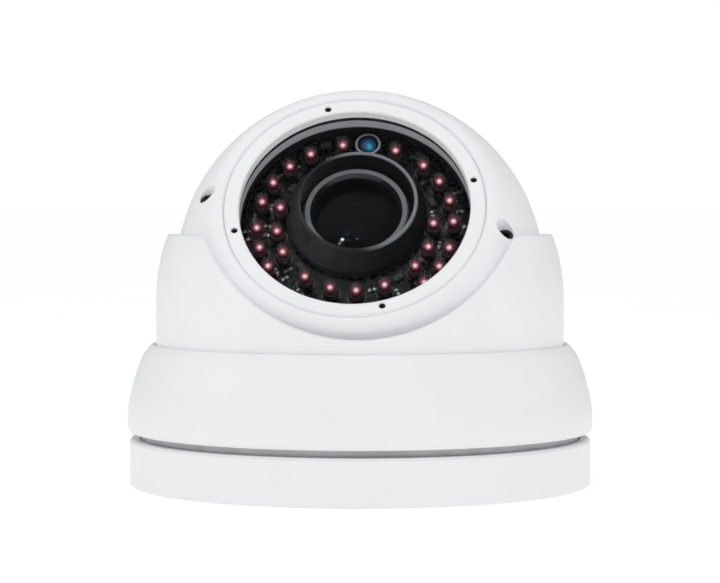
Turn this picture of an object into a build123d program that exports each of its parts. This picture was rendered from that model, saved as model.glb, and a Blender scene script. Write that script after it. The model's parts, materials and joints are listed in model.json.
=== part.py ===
from build123d import *
from math import asin, atan2, cos, degrees, hypot, radians, sin, sqrt
import os

# Turret (eyeball) dome camera for surface mounting.  Millimetres, +Z up.
# The origin is the centre of the base's underside, and the camera looks towards -Y.

os.makedirs("parts", exist_ok=True)

BOTTOM = (Align.CENTER, Align.CENTER, Align.MIN)
TINY = 0.05                     # running clearance between turning parts

# ---------------------------------------------------------------- driving dimensions
# Base plate
BASE_R = 70.4
BASE_H = 14.0
FLOOR_T = 3.0
BASE_BORE_R = 67.3
BASE_EDGE = 2.5
MOUNT_PCD = 104.0
MOUNT_HOLE_R = 2.4
CABLE_ENTRY_R = 9.0
GASKET_IN = 61.0
GASKET_OUT = 65.0
GASKET_T = 1.5
LEDGE_R = 62.5
LUG_COUNT = 3
LUG_W = 18.0
LOCK_ANGLE = 55.0               # where the bayonet's set screw enters, from +X
LOCK_Z = 11.4
LUG_WALL_R = 57.6
LUG_HOOK_R = 56.0
BASE_EDGE = 0.7

# Chassis, which drops into the base
CHASSIS_Z = 8.6
CHASSIS_T = 2.6
CHASSIS_R = 67.0
CHASSIS_WALL_IN = 62.8
CHASSIS_TOP = 19.5
HUB_IN = 45.0
HUB_OUT = 50.0
HUB_TOP = 21.15
SEAT_R = 54.5
SEAT_TOP = 14.0
PAD_T = 0.8
SEAL_Z = 16.9
SEAL_H = 1.4
SEAL_IN = 66.4
STOP_R = 58.0                   # radius that the pan stop and the pan peg stand at
RING_LUG_R = 51.6
RING_LUG_Z = 3.4
RETAINER_T = 2.4
RETAINER_R = 55.6

# Trim cover, the flared skirt
COVER_GAP = 2.2
COVER_R = 71.1
COVER_WALL_IN = 67.25
COVER_TOP = 42.6
COVER_THROAT_R = 62.85
COVER_SCREW_R = 64.7
COVER_SCREW_START = 30
COVER_BELLY = (69.2, 31.3)      # points that the skirt curves through
COVER_SHOULDER = (66.8, 38.2)
COVER_CROWN_R = 63.5
COVER_FOOT = 0.8
COVER_CHAMFER = 0.25
COVER_CHAMFER_H = 0.7

# Turret shroud, which turns inside the trim cover
SHROUD_R = 62.3
SHROUD_IN = 57.2
SHROUD_BOTTOM = 18.0
SHROUD_TOP = 75.9
SHROUD_FLANGE_T = 3.0
SHROUD_FLANGE_IN = 50.6
SCOOP_R = 49.8
SCOOP_Z = 96.3
REAR_SCOOP_R = 60.0
REAR_SCOOP_Z = 121.0
EAR_ROUND = 4.5
EAR_CLEAR = 0.03                # the scoop's cutter passes this far above the ear tops
LIP_ROUND = 1.0
REAR_LIP_ROUND = 0.6
EAR_TOP_R = 58.6
PAN_SCREW_R = 58.8
PAN_RING_R = 61.8
SHROUD_STRAIGHT = 56.0          # the shroud is a plain cylinder up to here, then leans in
SHROUD_KNEE = (60.3, 71.0)

# Ball
BALL_R = 56.2
BALL_WALL = 3.0
BALL_Z = 63.7
TILT = 34.5                     # optical axis above the horizontal, at rest
AIM = -2.45                     # optical axis to one side of the turret's centreline, at rest
ROLL = -8.0                     # front module about the optical axis, at rest
SPLIT_W = 6.0                   # where the ball divides into front and rear shells
GLAND_W = 51.0
SHELL_GAP = 0.1

# Roll bearing between the two shells
SPIGOT_R = 51.85
SPIGOT_IN = 48.6
SPIGOT_TOP = 12.9
FLANGE_W = 9.0
FLANGE_IN = 46.7
ROLL_SEAL_W = 7.0
ROLL_SEAL_H = 1.6
ROLL_SEAL_IN = 50.9

# Tilt pivots
PIVOT_R = 2.5
PIVOT_BOSS_R = 5.2
PIVOT_FLAT = 55.9
EAR_FLAT = 56.9
PIVOT_HEAD_R = 3.5
PIVOT_WASHER_R = 4.0
PIVOT_HEAD_X = 44.6
PIVOT_HEAD_T = 3.3
PIVOT_TIP_X = 60.4

# Front face, measured along the optical axis from the ball's centre
FACE_W = 37.35
LAND_W = 37.45
CROWN_ROUND = 5.5               # blends the ball's surface into the land round the bezel
BEZEL_R = 38.5
BEZEL_SEAM = 0.35
SEAM_DEPTH = 1.2
BEZEL_IN = 34.1
BEZEL_T = 3.0
BEZEL_SCREW_PCR = 36.1
BEZEL_SCREW_START = 22.5
BEZEL_HEAD_R = 1.0
BEZEL_HEAD_DEPTH = 1.7
WINDOW_R = 35.0
WINDOW_T = 1.2
GASKET_H = 0.5
BAFFLE_R = 34.3
SEAT_R_IN = 35.3
SEAT_W = 28.1
SEAT_T = 1.6
SEAT_FLANGE_R = 37.9
BOARD_W = 22.9
BOARD_T = 1.6
BOARD_R = 37.5
BOARD_SCREW_PCR = 35.6
BOARD_SCREW_START = 45

# Lock screws in the ball's cheeks
LOCK_PCR = 44.6
LOCK_POCKET_R = 2.5
LOCK_FLOOR_W = 27.0
LOCK_HEAD_H = 3.0
DOG_W = 5.8                     # far end of the lock screws, inside the clamp dogs
DOG_PCR = 45.0
DOG_LENGTH = 6.2
DOG_WIDTH = 9.0
TOWER_R = 4.6
POST_PCR = 41.5
POST_R = 3.4

# Lens and electronics, on an axis set off from the ball's
LENS_X = -0.85
LENS_Y = 5.1
COWL_BASE_R = 21.1
COWL_KNEE_W = 25.2
COWL_RIM_X = -0.37              # the soft cowl leans a little, so its rim is off the lens axis
COWL_RIM_Y = 5.7
COWL_RIM_R = 17.85
COWL_BORE_R = 16.95
COWL_TOP_W = 31.4
BOARD_HOLE_R = 17.2
RING_R = 15.6
BARREL_R = 11.95
BARREL_TOP = 20.6
ZOOM_RING_W = 3.1
ZOOM_RING_H = 7.8
FOCUS_RING_W = 11.5
FOCUS_RING_H = 9.4
KNURLS = 36
KNURL_R = 0.6
KNURL_OUT = 0.25
BRACKET_W = 9.0
BRACKET_T = 2.0
SENSOR_BOARD_W = -9.0
MAIN_BOARD_W = -16.0
PCB_T = 1.6
PCB_SIZE = 36.0
STANDOFF_XY = 15.6

# Infrared emitters
LED_R = 2.5
LED_FLANGE_R = 2.9
LED_H = 8.0
OUTER_RING_R = 29.25
INNER_RING_R = 23.3
LED_CENTRE_X = -0.2             # the rings of emitters sit slightly off the board's centre
LED_CENTRE_Y = -0.45
LED_TURN = 1.0

# Daylight sensor
SENSOR_PCR = 28.75
SENSOR_ANGLE = -0.8
SENSOR_R = 3.15
SENSOR_STEM = 4.1
HOLDER_R = 3.85
HOLDER_H = 6.0

# Pigtail
CABLE_R = 2.3
CABLE_Z = 5.7
GROMMET_R = 2.85
LEAD_R = 1.6
PLUG_Z = 7.4
JUNCTION_T = 1.4
HEADER_Y = 37.2
HEADER_H = 4.4

# ---------------------------------------------------------------- shared frames
tilt = radians(TILT)
roll = radians(ROLL)
aim = radians(AIM)
toward = Vector(sin(aim) * cos(tilt), -cos(aim) * cos(tilt), sin(tilt))
level = Vector(cos(aim), sin(aim), 0)
across = level * cos(roll) + toward.cross(level) * sin(roll)
BALL_CENTRE = Vector(0, 0, BALL_Z)

# Optical frame: x to the module's right, z out through the window.
optical = Plane(origin=BALL_CENTRE, x_dir=across, z_dir=toward)
inward = Plane(origin=BALL_CENTRE, x_dir=optical.x_dir, z_dir=-optical.z_dir)
optical_axis = Axis(BALL_CENTRE, toward)
# Half-section through the optical axis: x is the radius, y runs out through the window.
section = Plane(origin=BALL_CENTRE, x_dir=optical.x_dir, z_dir=-optical.y_dir)

lens_origin = BALL_CENTRE + optical.x_dir * LENS_X + optical.y_dir * LENS_Y
lens = Plane(origin=lens_origin, x_dir=optical.x_dir, z_dir=toward)
lens_axis = Axis(lens_origin, toward)
lens_section = Plane(origin=lens_origin, x_dir=optical.x_dir, z_dir=-optical.y_dir)

# The tilt pivot runs along X through the ball's centre.
pivots = [Plane(origin=BALL_CENTRE, x_dir=(0, 1, 0), z_dir=(side, 0, 0)) for side in (1, -1)]

# The bayonet's set screw enters the base's rim from outside.
lock_ray = Vector(cos(radians(LOCK_ANGLE)), sin(radians(LOCK_ANGLE)), 0)
set_screw = Plane(origin=lock_ray * BASE_R + Vector(0, 0, LOCK_Z), z_dir=-lock_ray)


def sphere_r(sphere, w):
    """Radius of a sphere's slice at distance w from its centre."""
    return sqrt(sphere * sphere - w * w)


def tube(plane, start, length, outer, inner=0.0, mode=Mode.ADD):
    """Add a round ring or disc to the part being built, standing on a plane."""
    with BuildSketch(plane.offset(start)) as face:
        Circle(outer)
        if inner > 0:
            Circle(inner, mode=Mode.SUBTRACT)
    extrude(face.sketch, amount=length, mode=mode)


def turned(plane, axis, points, mode=Mode.ADD):
    """Add a solid of revolution from a straight-sided half-profile."""
    with BuildSketch(plane) as face:
        with BuildLine():
            Polyline(*points, close=True)
        make_face()
    revolve(face.sketch, axis=axis, revolution_arc=360, mode=mode)


def save(builder, name):
    """Label one finished piece and write its STEP file."""
    builder.part.label = name
    export_step(builder.part, f"parts/{name}.step")


# ================================================================ base

with BuildPart() as base_plate:
    with BuildSketch(Plane.XZ) as base_section:
        with BuildLine():
            Polyline((0, 0), (BASE_R - BASE_EDGE, 0))
            RadiusArc((BASE_R - BASE_EDGE, 0), (BASE_R, BASE_EDGE), -BASE_EDGE)
            Polyline(
                (BASE_R, BASE_EDGE),
                (BASE_R, BASE_H - BASE_EDGE),
                (BASE_R - BASE_EDGE, BASE_H),
                (BASE_BORE_R, BASE_H),
                (BASE_BORE_R, CHASSIS_Z),
                (LEDGE_R, CHASSIS_Z),
                (LEDGE_R, FLOOR_T),
                (0, FLOOR_T),
                (0, 0),
            )
        make_face()
    revolve(axis=Axis.Z)
    # groove for the gasket, cable entry and three mounting holes
    tube(Plane.XY, 0, GASKET_T, GASKET_OUT, GASKET_IN, Mode.SUBTRACT)
    with Locations((0, 0, FLOOR_T)):
        Hole(CABLE_ENTRY_R)
    with PolarLocations(MOUNT_PCD / 2, 3, start_angle=-90):
        Cylinder(MOUNT_HOLE_R + 2.6, FLOOR_T + 1.2, align=BOTTOM)
        Cylinder(MOUNT_HOLE_R, 3 * FLOOR_T, mode=Mode.SUBTRACT)
    # bayonet lugs that hold the chassis feet down
    with PolarLocations(LUG_WALL_R, LUG_COUNT):
        Box(2.4, LUG_W, 7.8, align=BOTTOM)
    with PolarLocations(LUG_HOOK_R, LUG_COUNT):
        with Locations((0, 0, 6.2)):
            Box(3.6, LUG_W, 1.6, align=BOTTOM)
    # side cable exit at the back, and the channel that leads to it
    with Locations(Plane(origin=(0, BASE_BORE_R - 8, CABLE_Z), z_dir=(0, 1, 0))):
        Cylinder(GROMMET_R, 12, align=BOTTOM, mode=Mode.SUBTRACT)
    with Locations((0, LEDGE_R, FLOOR_T)):
        Box(9.0, 9.4, 8.0, align=BOTTOM, mode=Mode.SUBTRACT)
    # tapped hole for the set screw that locks the bayonet
    with Locations(set_screw):
        Cylinder(1.5, 12, mode=Mode.SUBTRACT)
    # four posts for the junction board
    with Locations((-9, 26, FLOOR_T), (9, 26, FLOOR_T), (-9, 37, FLOOR_T), (9, 37, FLOOR_T)):
        Cylinder(2.0, 0.9, align=BOTTOM)
save(base_plate, "base_plate")

with BuildPart() as base_gasket:
    tube(Plane.XY, 0, GASKET_T, GASKET_OUT, GASKET_IN)
save(base_gasket, "base_gasket")

# ---------------------------------------------------------------- chassis
FOOT_R = 53.6

with BuildPart() as chassis_ring:
    turned(Plane.XZ, Axis.Z, [
        (HUB_IN, CHASSIS_Z), (CHASSIS_R, CHASSIS_Z), (CHASSIS_R, CHASSIS_TOP),
        (CHASSIS_WALL_IN, CHASSIS_TOP), (CHASSIS_WALL_IN, CHASSIS_Z + CHASSIS_T),
        (SEAT_R, CHASSIS_Z + CHASSIS_T), (SEAT_R, SEAT_TOP), (HUB_OUT, SEAT_TOP),
        (HUB_OUT, HUB_TOP), (HUB_IN, HUB_TOP)])
    # groove for the cover seal
    tube(Plane.XY, SEAL_Z, SEAL_H, CHASSIS_R + 1, SEAL_IN, Mode.SUBTRACT)
    # feet that hook under the base's bayonet lugs
    with PolarLocations(RING_LUG_R, LUG_COUNT):
        with Locations((0, 0, RING_LUG_Z)):
            Box(2.4, LUG_W - 2, CHASSIS_Z - RING_LUG_Z, align=BOTTOM)
    with PolarLocations(FOOT_R, LUG_COUNT):
        with Locations((0, 0, RING_LUG_Z)):
            Box(4.0, LUG_W - 2, 2.6, align=BOTTOM)
    # counterbored holes for the cover screws, entered from below
    with Locations(Plane(origin=(0, 0, CHASSIS_Z), x_dir=(1, 0, 0), z_dir=(0, 0, -1))):
        with PolarLocations(COVER_SCREW_R, 3, start_angle=-COVER_SCREW_START):
            CounterBoreHole(1.3, 2.05, 2.3)
    # tapped holes for the retainer screws
    with Locations((0, 0, HUB_TOP)):
        with PolarLocations((HUB_IN + HUB_OUT) / 2, 6):
            Hole(1.0, depth=7)
    # dimple for the bayonet set screw
    with Locations(set_screw.offset(2.4)):
        Cylinder(1.5, 3.6, align=BOTTOM, mode=Mode.SUBTRACT)
    # hole for the pan stop
    with Locations((0, STOP_R, CHASSIS_Z + CHASSIS_T)):
        Hole(1.6, depth=CHASSIS_T)
save(chassis_ring, "chassis_ring")

with BuildPart() as base_lock_screw:
    tube(set_screw, 1.3, 4.6, 1.5)
    with BuildSketch(set_screw.offset(1.3)) as socket:
        RegularPolygon(0.85, 6)
    extrude(socket.sketch, amount=1.6, mode=Mode.SUBTRACT)
save(base_lock_screw, "base_lock_screw")

with BuildPart() as pan_pad:
    tube(Plane.XY, SEAT_TOP, PAD_T, SEAT_R - 0.1, HUB_OUT)
save(pan_pad, "pan_pad")

with BuildPart() as pan_retainer:
    tube(Plane.XY, HUB_TOP, RETAINER_T, RETAINER_R, HUB_IN)
    with Locations((0, 0, HUB_TOP + RETAINER_T)):
        with PolarLocations((HUB_IN + HUB_OUT) / 2, 6):
            CounterBoreHole(1.05, 1.9, 1.2)
save(pan_retainer, "pan_retainer")

with BuildPart() as retainer_screws:
    with Locations((0, 0, HUB_TOP)):
        with PolarLocations((HUB_IN + HUB_OUT) / 2, 6):
            with Locations((0, 0, -6)):
                Cylinder(1.0, 6 + 1.2, align=BOTTOM)
            with Locations((0, 0, 1.2)):
                Cylinder(1.8, 1.2, align=BOTTOM)
            with Locations((0, 0, 1.8)):
                Cylinder(0.8, 1.0, align=BOTTOM, mode=Mode.SUBTRACT)
save(retainer_screws, "retainer_screws")

with BuildPart() as pan_stop:
    with Locations((0, STOP_R, CHASSIS_Z)):
        Cylinder(1.6, 5.6, align=BOTTOM)
save(pan_stop, "pan_stop")

# ---------------------------------------------------------------- trim cover
COVER_Z = BASE_H + COVER_GAP

with BuildPart() as trim_cover:
    with BuildSketch(Plane.XZ) as cover_section:
        with BuildLine():
            Line((COVER_R - COVER_FOOT, COVER_Z), (COVER_R - COVER_CHAMFER, COVER_Z + COVER_CHAMFER_H))
            Spline(
                (COVER_R - COVER_CHAMFER, COVER_Z + COVER_CHAMFER_H),
                (COVER_R, 21.0), COVER_BELLY, COVER_SHOULDER,
                tangents=[(0.15, 1), (-0.42, 1)],
            )
            TangentArc(COVER_SHOULDER, (COVER_CROWN_R, COVER_TOP), tangent=(-0.42, 1))
            Polyline(
                (COVER_CROWN_R, COVER_TOP), (COVER_THROAT_R, COVER_TOP - 0.35),
                (COVER_THROAT_R, 36.5), (65.3, 32.0), (COVER_WALL_IN, 23.5),
                (COVER_WALL_IN, 22.5), (COVER_THROAT_R, 22.5), (COVER_THROAT_R, CHASSIS_TOP),
                (COVER_WALL_IN, CHASSIS_TOP), (COVER_WALL_IN, COVER_Z), (COVER_R - COVER_FOOT, COVER_Z),
            )
        make_face()
    revolve(axis=Axis.Z)
    with Locations((0, 0, CHASSIS_TOP)):
        with PolarLocations(COVER_SCREW_R, 3, start_angle=COVER_SCREW_START):
            Cylinder(1.25, 2.6, align=BOTTOM, mode=Mode.SUBTRACT)
save(trim_cover, "trim_cover")

with BuildPart() as cover_seal:
    tube(Plane.XY, SEAL_Z, SEAL_H, COVER_WALL_IN, SEAL_IN)
save(cover_seal, "cover_seal")

with BuildPart() as cover_screws:
    with PolarLocations(COVER_SCREW_R, 3, start_angle=COVER_SCREW_START):
        with Locations((0, 0, CHASSIS_Z)):
            Cylinder(2.0, 2.3, align=BOTTOM)
            Cylinder(1.25, 13.2, align=BOTTOM)
            Cylinder(0.9, 1.2, align=BOTTOM, mode=Mode.SUBTRACT)
save(cover_screws, "cover_screws")

# ---------------------------------------------------------------- cable and connectors
rearward = Plane(origin=(0, 0, CABLE_Z), x_dir=(1, 0, 0), z_dir=(0, 1, 0))

COLLAR_Y = BASE_R + TINY

with BuildPart() as cable_grommet:
    tube(rearward, BASE_BORE_R - 2.2, COLLAR_Y - BASE_BORE_R + 2.2, GROMMET_R, CABLE_R)
    tube(rearward, COLLAR_Y, 1.5, 5.0, CABLE_R)
    tube(rearward, COLLAR_Y + 1.5, 4.0, 3.7, CABLE_R)
    chamfer(cable_grommet.edges().filter_by(GeomType.CIRCLE).group_by(Axis.Y)[-1]
            .sort_by(SortBy.RADIUS)[-1], 0.9)
save(cable_grommet, "cable_grommet")

SPLIT_Y = 88.0
with BuildPart() as camera_cable:
    tube(rearward, 41.2, SPLIT_Y - 41.2, CABLE_R)
save(camera_cable, "camera_cable")

with BuildPart() as cable_splitter:
    with BuildSketch(rearward.offset(SPLIT_Y)) as cable_end:
        RectangleRounded(6.6, 6.4, 3.0)
    with BuildSketch(rearward.offset(SPLIT_Y + 5)) as lead_end:
        RectangleRounded(11.0, 6.8, 2.6)
    loft([cable_end.sketch, lead_end.sketch])
    extrude(lead_end.sketch, amount=6)
save(cable_splitter, "cable_splitter")

LEAD_Y = SPLIT_Y + 11
PLUG_Y = 114.0
PLUG_X = 10.0

with BuildPart() as connector_leads:
    for side in (-1, 1):
        with BuildLine() as lead_path:
            Spline(
                (side * 2.9, LEAD_Y, CABLE_Z), (side * PLUG_X, PLUG_Y, PLUG_Z),
                tangents=[(0, 1, 0), (0, 1, 0)],
            )
        with BuildSketch(Plane(origin=lead_path.line @ 0, z_dir=(0, 1, 0))) as lead_face:
            Circle(LEAD_R)
        sweep(lead_face.sketch, path=lead_path.line)
save(connector_leads, "connector_leads")

video_axis = Plane(origin=(-PLUG_X, PLUG_Y, PLUG_Z), x_dir=(1, 0, 0), z_dir=(0, 1, 0))
video_line = Axis((-PLUG_X, PLUG_Y, PLUG_Z), (0, 1, 0))
video_section = Plane(origin=(-PLUG_X, PLUG_Y, PLUG_Z), x_dir=(1, 0, 0), z_dir=(0, 0, 1))

with BuildPart() as video_connector:
    turned(video_section, video_line, [
        (0, 0), (2.4, 0), (3.3, 7), (5.6, 7.5), (6.2, 8.2), (6.2, 14.6), (5.4, 15.2),
        (5.4, 16.4), (4.85, 16.4), (4.85, 27.0), (4.1, 27.0), (4.1, 18.5), (2.3, 18.5),
        (2.3, 25.4), (0.7, 25.4), (0.7, 20.0), (0, 20.0)])
    with Locations(video_axis.offset(23.4)):
        Box(11.6, 1.9, 1.9)
    tube(video_axis, 18.5, 9, 4.1, 2.3, Mode.SUBTRACT)
    tube(video_axis, 20.0, 9, 0.7, mode=Mode.SUBTRACT)
save(video_connector, "video_connector")

power_line = Axis((PLUG_X, PLUG_Y, PLUG_Z), (0, 1, 0))
power_section = Plane(origin=(PLUG_X, PLUG_Y, PLUG_Z), x_dir=(1, 0, 0), z_dir=(0, 0, 1))

with BuildPart() as power_jack:
    turned(power_section, power_line, [
        (0, 0), (2.4, 0), (3.2, 6.5), (4.9, 7.2), (5.2, 8.2), (5.2, 19.4), (4.7, 20.4),
        (4.7, 22.0), (2.9, 22.0), (2.9, 12.5), (1.0, 12.5), (1.0, 20.6), (0, 20.6)])
save(power_jack, "power_jack")

# ---------------------------------------------------------------- junction board in the base
JUNCTION_Z = FLOOR_T + 0.9
with BuildPart() as junction_board:
    with BuildSketch(Plane.XY.offset(JUNCTION_Z)):
        with Locations((0, 31)):
            RectangleRounded(26, 19, 1.5)
    extrude(amount=JUNCTION_T)
    with Locations((-7, 27, JUNCTION_Z + JUNCTION_T), (-1, 27, JUNCTION_Z + JUNCTION_T)):
        Cylinder(2.2, 3.4, align=BOTTOM)
    with Locations((7, 28, JUNCTION_Z + JUNCTION_T)):
        Box(5, 6, 2.2, align=BOTTOM)
    with Locations((0, HEADER_Y, JUNCTION_Z + JUNCTION_T)):
        Box(15, 6.0, HEADER_H, align=BOTTOM)
    header_top = JUNCTION_Z + JUNCTION_T + HEADER_H
    with Locations(*[(-5.25 + 3.5 * pole, HEADER_Y, header_top) for pole in range(4)]):
        Hole(1.1, depth=1.5)
save(junction_board, "junction_board")

# ================================================================ turret
with BuildPart() as turret_shroud:
    with BuildSketch(Plane.XZ) as shroud_section:
        with BuildLine():
            Polyline(
                (SHROUD_FLANGE_IN, SHROUD_BOTTOM), (SHROUD_R, SHROUD_BOTTOM), (SHROUD_R, SHROUD_STRAIGHT),
            )
            TangentArc((SHROUD_R, SHROUD_STRAIGHT), SHROUD_KNEE, tangent=(0, 1))
            TangentArc(SHROUD_KNEE, (EAR_TOP_R, SHROUD_TOP), tangent=(-0.27, 1))
            Polyline(
                (EAR_TOP_R, SHROUD_TOP), (SHROUD_IN + 0.5, SHROUD_TOP), (SHROUD_IN, SHROUD_TOP - 0.5),
                (SHROUD_IN, SHROUD_BOTTOM + SHROUD_FLANGE_T),
                (SHROUD_FLANGE_IN, SHROUD_BOTTOM + SHROUD_FLANGE_T),
                (SHROUD_FLANGE_IN, SHROUD_BOTTOM),
            )
        make_face()
    revolve(axis=Axis.Z)
    # front scoop, cut straight through along Y, with rounded ears
    with BuildSketch(Plane.XZ) as scoop:
        with Locations((0, SCOOP_Z)):
            Circle(SCOOP_R)
        with Locations((0, SHROUD_TOP + EAR_CLEAR + 40)):
            Rectangle(170, 80)
        fillet(scoop.vertices().group_by(Axis.Z)[0], EAR_ROUND)
    extrude(scoop.sketch, amount=90, mode=Mode.SUBTRACT)
    # shallower scoop at the back
    with BuildSketch(Plane.XZ) as rear_scoop:
        with Locations((0, REAR_SCOOP_Z)):
            Circle(REAR_SCOOP_R)
        with Locations((0, SHROUD_TOP + EAR_CLEAR + 50)):
            Rectangle(170, 100)
        fillet(rear_scoop.vertices().group_by(Axis.Z)[0], EAR_ROUND)
    extrude(rear_scoop.sketch, amount=-90, mode=Mode.SUBTRACT)
    # soft outer edge along both scoops
    lip = turret_shroud.edges().filter_by(GeomType.BSPLINE).filter_by(
        lambda edge: (edge @ 0.5).Z < SHROUD_TOP - 1 and hypot((edge @ 0.5).X, (edge @ 0.5).Y) > SHROUD_IN + 2
    )
    fillet(lip.filter_by(lambda edge: (edge @ 0.5).Y < 0), LIP_ROUND)
    fillet(lip.filter_by(lambda edge: (edge @ 0.5).Y > 0), REAR_LIP_ROUND)
    # ear bosses and blind holes for the pivot bolts
    with Locations(*[side.offset(EAR_FLAT) for side in pivots]):
        Cylinder(6.0, 2.0, align=BOTTOM)
        Cylinder(PIVOT_R, 3.8, align=BOTTOM, mode=Mode.SUBTRACT)
    # blind holes for the pan ring screws
    with Locations((0, 0, SHROUD_BOTTOM)):
        with PolarLocations(PAN_SCREW_R, 6):
            Cylinder(1.25, 4.4, mode=Mode.SUBTRACT)
save(turret_shroud, "turret_shroud")

PAN_RING_Z = SEAT_TOP + PAD_T
with BuildPart() as pan_ring:
    tube(Plane.XY, PAN_RING_Z, SHROUD_BOTTOM - PAN_RING_Z, PAN_RING_R, HUB_OUT + TINY)
    with Locations(Plane(origin=(0, 0, PAN_RING_Z), x_dir=(1, 0, 0), z_dir=(0, 0, -1))):
        with PolarLocations(PAN_SCREW_R, 6):
            CounterBoreHole(1.3, 2.3, 1.8)
    with Locations((0, -STOP_R, PAN_RING_Z)):
        Cylinder(1.6, 6, mode=Mode.SUBTRACT)
save(pan_ring, "pan_ring")

with BuildPart() as pan_ring_screws:
    with PolarLocations(PAN_SCREW_R, 6):
        with Locations((0, 0, PAN_RING_Z)):
            Cylinder(2.2, 1.8, align=BOTTOM)
            Cylinder(1.25, SHROUD_BOTTOM - PAN_RING_Z + 2.0, align=BOTTOM)
            Cylinder(0.9, 0.9, align=BOTTOM, mode=Mode.SUBTRACT)
save(pan_ring_screws, "pan_ring_screws")

PEG_Z = CHASSIS_Z + CHASSIS_T + 0.6
with BuildPart() as pan_peg:
    with Locations((0, -STOP_R, PEG_Z)):
        Cylinder(1.6, PAN_RING_Z + 3.0 - PEG_Z, align=BOTTOM)
save(pan_peg, "pan_peg")

with BuildPart() as pivot_bolts:
    for side in pivots:
        tube(side, PIVOT_HEAD_X, PIVOT_HEAD_T, PIVOT_HEAD_R)
        tube(side, PIVOT_HEAD_X, PIVOT_TIP_X - PIVOT_HEAD_X, PIVOT_R)
        with BuildSketch(side.offset(PIVOT_HEAD_X)) as hex_socket:
            RegularPolygon(2.0, 6)
        extrude(hex_socket.sketch, amount=2.2, mode=Mode.SUBTRACT)
save(pivot_bolts, "pivot_bolts")

with BuildPart() as pivot_washers:
    for side in pivots:
        tube(side, PIVOT_FLAT + TINY, EAR_FLAT - PIVOT_FLAT - TINY, PIVOT_WASHER_R, PIVOT_R)
save(pivot_washers, "pivot_washers")

# ================================================================ rear half of the ball
GLAND_SWING = 25.0              # cable outlet, below the pole opposite the window
outlet = radians(TILT + GLAND_SWING)
gland = Plane(origin=BALL_CENTRE, x_dir=(1, 0, 0), z_dir=(0, cos(outlet), -sin(outlet)))
INNER_R = BALL_R - BALL_WALL
INNER_EDGE_W = 2.0

with BuildPart() as rear_shell:
    with BuildSketch(section) as rear_section:
        with BuildLine():
            CenterArc((0, 0), BALL_R, -90, 90 + degrees(asin(SPLIT_W / BALL_R)))
            Polyline(
                (sphere_r(BALL_R, SPLIT_W), SPLIT_W), (SPIGOT_R, SPLIT_W), (SPIGOT_R, SPIGOT_TOP),
                (FLANGE_IN, SPIGOT_TOP), (FLANGE_IN, FLANGE_W), (SPIGOT_IN + 1.2, FLANGE_W),
                (SPIGOT_IN + 1.2, SPLIT_W), (sphere_r(INNER_R, SPLIT_W) - 1.2, SPLIT_W - 1.6),
                (sphere_r(INNER_R, INNER_EDGE_W), INNER_EDGE_W),
            )
            inner_angle = degrees(asin(INNER_EDGE_W / INNER_R))
            CenterArc((0, 0), INNER_R, inner_angle, -90 - inner_angle)
            Line((0, -INNER_R), (0, -BALL_R))
        make_face()
    revolve(axis=optical_axis)
    # bosses and flats for the tilt pivots, kept behind the joint with the front shell
    with Locations(*[side.offset(49.0) for side in pivots]):
        Cylinder(PIVOT_BOSS_R, 6.0, align=BOTTOM)
    tube(optical, SPLIT_W, 8.0, BALL_R + 2, SPIGOT_R, Mode.SUBTRACT)
    # groove for the roll seal
    tube(optical, ROLL_SEAL_W, ROLL_SEAL_H, SPIGOT_R + 1, ROLL_SEAL_IN, Mode.SUBTRACT)
    with Locations(*[side.offset(48.0) for side in pivots]):
        Cylinder(PIVOT_R + TINY, 10.0, align=BOTTOM, mode=Mode.SUBTRACT)
    with Locations(*[side.offset(PIVOT_FLAT) for side in pivots]):
        Cylinder(7.0, 2.0, align=BOTTOM, mode=Mode.SUBTRACT)
    # cable outlet
    with Locations(gland.offset(BALL_R)):
        Hole(4.5, depth=8)
save(rear_shell, "rear_shell")

with BuildPart() as roll_seal:
    tube(optical, ROLL_SEAL_W, ROLL_SEAL_H, SPIGOT_R, ROLL_SEAL_IN)
save(roll_seal, "roll_seal")

with BuildPart() as ball_gland:
    tube(gland, GLAND_W, 4.7, 4.5, 2.4)
    tube(gland, GLAND_W - 1.2, 2.6, 6.6, 2.4)
save(ball_gland, "ball_gland")

# ================================================================ front half of the ball
FRONT_W = SPLIT_W + SHELL_GAP
BORE_R = SPIGOT_R + TINY
BORE_TOP = SPIGOT_TOP + SHELL_GAP

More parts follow.
